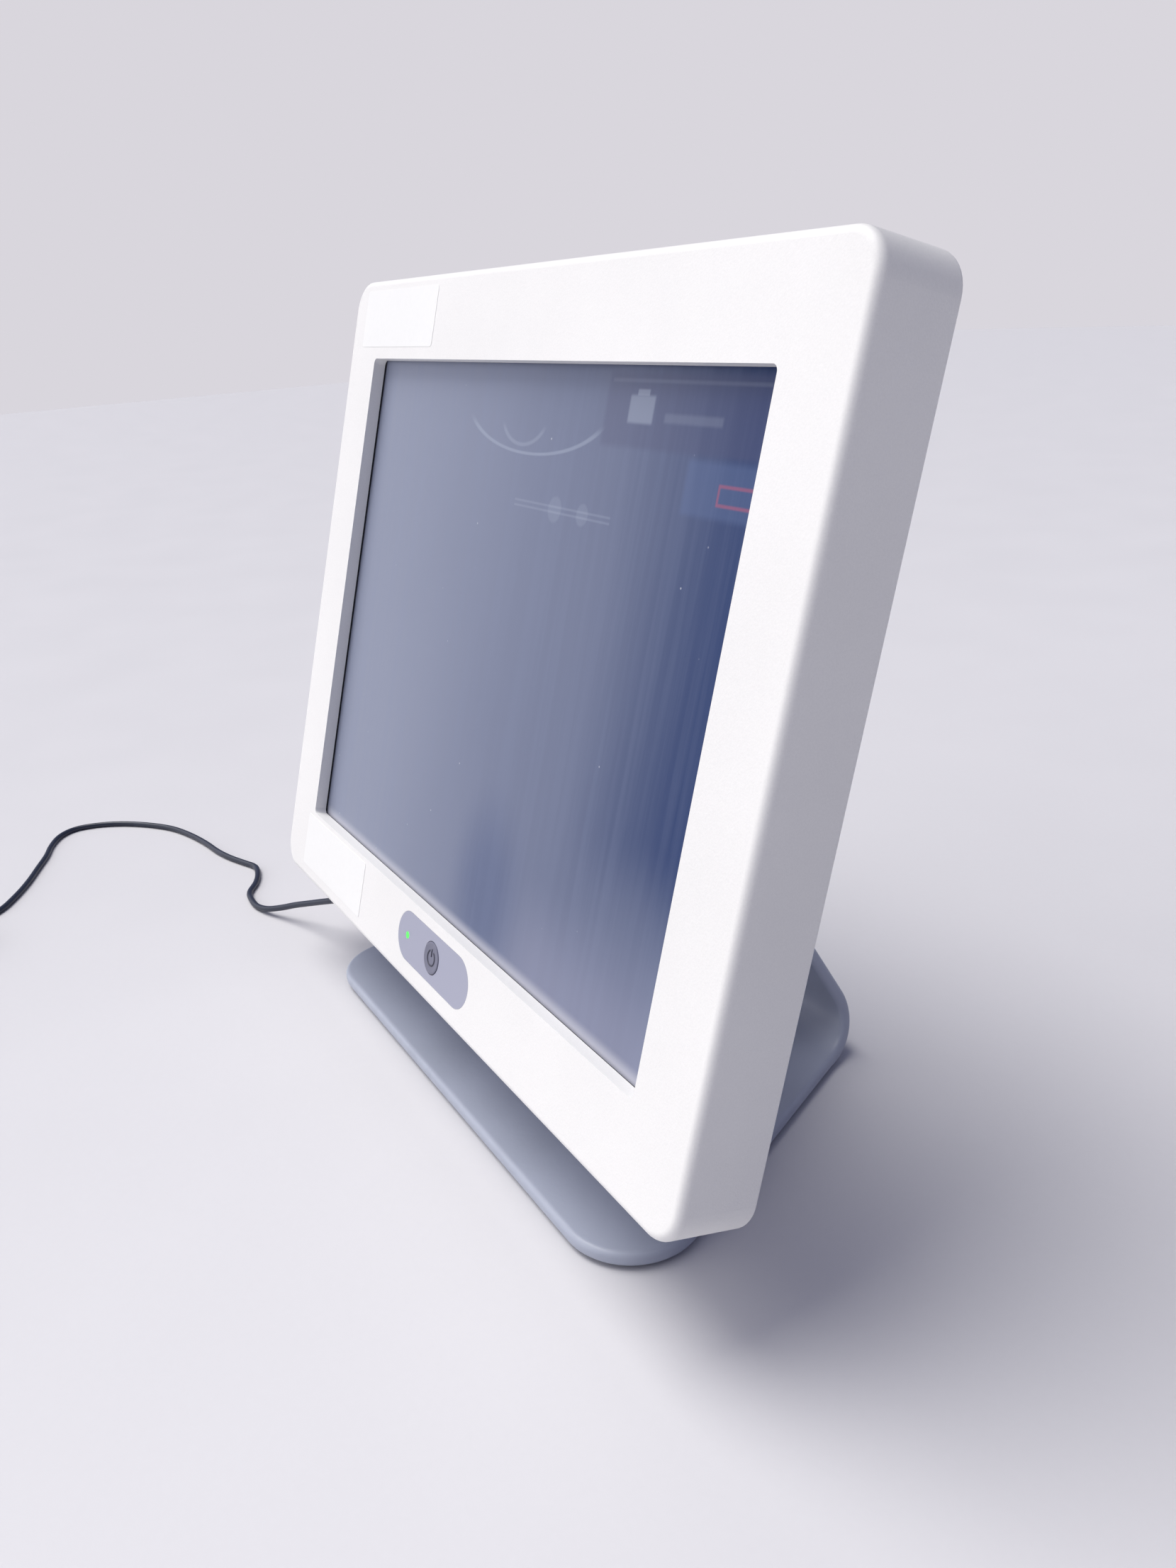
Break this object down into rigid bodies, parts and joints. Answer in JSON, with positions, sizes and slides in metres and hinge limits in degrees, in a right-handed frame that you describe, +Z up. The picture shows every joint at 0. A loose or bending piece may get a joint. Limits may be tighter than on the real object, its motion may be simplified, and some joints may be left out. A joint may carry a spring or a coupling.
{
  "type": "touchscreen terminal",
  "caption": "Desktop touchscreen terminal: flat white panel with a framed screen and power key, tilting on a bent-plate desk stand, with its power cord.",
  "frame": {"origin": "on the table, under the middle of the terminal and stand without their cord", "axes": "+X to the right as seen by the user, +Y to the back, +Z up"},
  "size_m": [0.6207, 0.3927, 0.3396],
  "materials": {
    "stand_paint": "satin",
    "pad_rubber": "matte",
    "dark_paint": "satin",
    "plated_steel": "satin",
    "washer_bronze": "satin",
    "housing_white": "fine texture",
    "cover_white": "fine texture",
    "gasket_foam": "matte",
    "touch_glass": "anti-glare",
    "display_cell": "semi-matte",
    "display_metal": "satin",
    "light_tray": "matte",
    "zinc_sheet": "satin",
    "circuit_board": "gloss",
    "chip_black": "matte",
    "heat_sink_alloy": "satin",
    "brass_spacer": "satin",
    "socket_black": "matte",
    "overlay_grey": "fine texture",
    "key_grey": "satin",
    "light_green": "gloss",
    "label_white": "satin",
    "cord_black": "satin",
    "plug_black": "satin"
  },
  "bodies": {
    "stand": {"foot_plate": "stand_paint", "foot_pads": "pad_rubber", "hinge_block": "dark_paint", "hinge_block_screws": "plated_steel", "hinge_pin": "plated_steel", "hinge_nut": "plated_steel", "friction_washers": "washer_bronze", "cord_drop": "cord_black", "power_cord": "cord_black", "cord_coil": "cord_black", "supply_plug": "plug_black"},
    "terminal": {"tilt_bracket": "dark_paint", "tilt_bracket_screws": "plated_steel", "front_housing": "housing_white", "rear_cover": "cover_white", "rear_cover_screws": "plated_steel", "screen_gasket": "gasket_foam", "touch_glass": "touch_glass", "glass_tape": "gasket_foam", "lcd_frame": "display_metal", "lcd_cell": "display_cell", "backlight_unit": "light_tray", "lcd_brackets": "zinc_sheet", "chassis_plate": "zinc_sheet", "chassis_screws": "plated_steel", "main_board": "circuit_board", "board_chips": "chip_black", "heat_sink": "heat_sink_alloy", "inverter_board": "circuit_board", "board_standoffs": "brass_spacer", "board_screws": "plated_steel", "power_socket": "socket_black", "data_socket": "display_metal", "keypad_overlay": "overlay_grey", "keypad_board": "circuit_board", "keypad_screws": "plated_steel", "button_switch": "display_metal", "status_light": "light_green", "blank_labels": "label_white", "cord_plug": "plug_black", "cord_relief": "plug_black"},
    "button": {"power_button": "key_grey"}
  },
  "joints": [
    {"name": "tilt", "type": "hinge", "parent": "stand", "child": "terminal", "pos_m": [0, 0.00443, 0.18058], "axis": [-1, 0, 0], "range_deg": [-12, 20], "deforming": ["cord_drop"]},
    {"name": "power_press", "type": "slide", "parent": "terminal", "child": "button", "axis": [0, 0.9659, -0.2588], "range_m": [0, 0.00045], "stiffness_N_per_m": 900, "springref_m": -0.0008}
  ]
}
